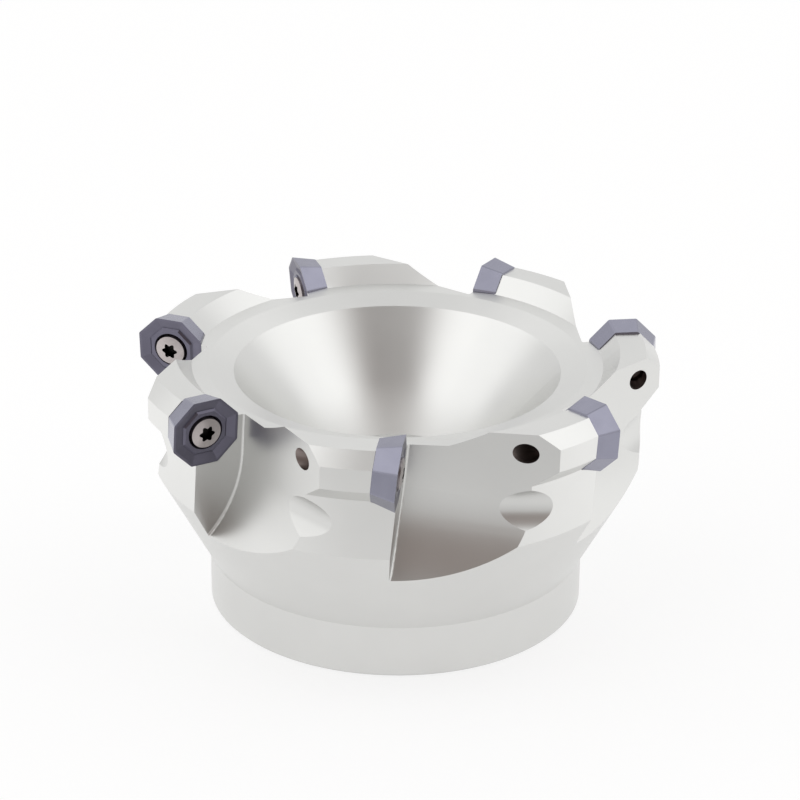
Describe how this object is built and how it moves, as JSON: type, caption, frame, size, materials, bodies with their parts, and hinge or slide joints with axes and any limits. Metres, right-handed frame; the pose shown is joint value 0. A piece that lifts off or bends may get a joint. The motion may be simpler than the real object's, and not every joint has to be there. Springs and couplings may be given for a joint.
{
  "type": "face mill",
  "caption": "Face mill: stepped round steel body with an arbor bore, a wide conical recess, and coated octagonal inserts screwed to teeth between curved chip gullets around its rim.",
  "frame": {"origin": "on the cutter's axis, in the plane of the arbor face at the hub's base", "axes": "+Z along the cutter's axis from the arbor face to the cutting plane; +X through the first drive keyway; +Y completes a right-handed frame, away from the viewer of the picture"},
  "size_m": [0.122, 0.1222, 0.064],
  "materials": {
    "nickel_plated_steel": "fine turned and milled tool steel with a thin satin nickel plate",
    "coated_carbide": "sintered carbide with a dark violet-grey hard coating",
    "bright_screw_steel": "bright hardened screw steel"
  },
  "bodies": {
    "cutter": {"cutter_body": "nickel_plated_steel"},
    "insert_1": {"insert_1": "coated_carbide"},
    "screw_1": {"insert_screw_1": "bright_screw_steel"},
    "insert_2": {"insert_2": "coated_carbide"},
    "screw_2": {"insert_screw_2": "bright_screw_steel"},
    "insert_3": {"insert_3": "coated_carbide"},
    "screw_3": {"insert_screw_3": "bright_screw_steel"},
    "insert_4": {"insert_4": "coated_carbide"},
    "screw_4": {"insert_screw_4": "bright_screw_steel"},
    "insert_5": {"insert_5": "coated_carbide"},
    "screw_5": {"insert_screw_5": "bright_screw_steel"},
    "insert_6": {"insert_6": "coated_carbide"},
    "screw_6": {"insert_screw_6": "bright_screw_steel"},
    "insert_7": {"insert_7": "coated_carbide"},
    "screw_7": {"insert_screw_7": "bright_screw_steel"}
  },
  "joints": [
    {"name": "insert_1_lift", "type": "slide", "parent": "cutter", "child": "insert_1", "axis": [0.9882, -0.1219, -0.0932], "range_m": [0, 0.008]},
    {"name": "screw_1_turn", "type": "hinge", "parent": "insert_1", "child": "screw_1", "pos_m": [0.00095, -0.05463, 0.0561], "axis": [0.9882, -0.1219, -0.0932], "range_deg": [0, 3600]},
    {"name": "insert_2_lift", "type": "slide", "parent": "cutter", "child": "insert_2", "axis": [0.7114, 0.6965, -0.0932], "range_m": [0, 0.008]},
    {"name": "screw_2_turn", "type": "hinge", "parent": "insert_2", "child": "screw_2", "pos_m": [0.04331, -0.03332, 0.0561], "axis": [0.7114, 0.6965, -0.0932], "range_deg": [0, 3600]},
    {"name": "insert_3_lift", "type": "slide", "parent": "cutter", "child": "insert_3", "axis": [-0.101, 0.9905, -0.0932], "range_m": [0, 0.008]},
    {"name": "screw_3_turn", "type": "hinge", "parent": "insert_3", "child": "screw_3", "pos_m": [0.05305, 0.01309, 0.0561], "axis": [-0.101, 0.9905, -0.0932], "range_deg": [0, 3600]},
    {"name": "insert_4_lift", "type": "slide", "parent": "cutter", "child": "insert_4", "axis": [-0.8374, 0.5386, -0.0932], "range_m": [0, 0.008]},
    {"name": "screw_4_turn", "type": "hinge", "parent": "insert_4", "child": "screw_4", "pos_m": [0.02285, 0.04963, 0.0561], "axis": [-0.8374, 0.5386, -0.0932], "range_deg": [0, 3600]},
    {"name": "insert_5_lift", "type": "slide", "parent": "cutter", "child": "insert_5", "axis": [-0.9432, -0.3189, -0.0932], "range_m": [0, 0.008]},
    {"name": "screw_5_turn", "type": "hinge", "parent": "insert_5", "child": "screw_5", "pos_m": [-0.02456, 0.04881, 0.0561], "axis": [-0.9432, -0.3189, -0.0932], "range_deg": [0, 3600]},
    {"name": "insert_6_lift", "type": "slide", "parent": "cutter", "child": "insert_6", "axis": [-0.3388, -0.9362, -0.0932], "range_m": [0, 0.008]},
    {"name": "screw_6_turn", "type": "hinge", "parent": "insert_6", "child": "screw_6", "pos_m": [-0.05347, 0.01123, 0.0561], "axis": [-0.3388, -0.9362, -0.0932], "range_deg": [0, 3600]},
    {"name": "insert_7_lift", "type": "slide", "parent": "cutter", "child": "insert_7", "axis": [0.5208, -0.8486, -0.0932], "range_m": [0, 0.008]},
    {"name": "screw_7_turn", "type": "hinge", "parent": "insert_7", "child": "screw_7", "pos_m": [-0.04212, -0.03481, 0.0561], "axis": [0.5208, -0.8486, -0.0932], "range_deg": [0, 3600]}
  ],
  "couplings": [
    {"joint": "screw_1_turn", "follows": "insert_1_lift", "rad_per_m": 7854},
    {"joint": "screw_2_turn", "follows": "insert_2_lift", "rad_per_m": 7854},
    {"joint": "screw_3_turn", "follows": "insert_3_lift", "rad_per_m": 7854},
    {"joint": "screw_4_turn", "follows": "insert_4_lift", "rad_per_m": 7854},
    {"joint": "screw_5_turn", "follows": "insert_5_lift", "rad_per_m": 7854},
    {"joint": "screw_6_turn", "follows": "insert_6_lift", "rad_per_m": 7854},
    {"joint": "screw_7_turn", "follows": "insert_7_lift", "rad_per_m": 7854}
  ]
}
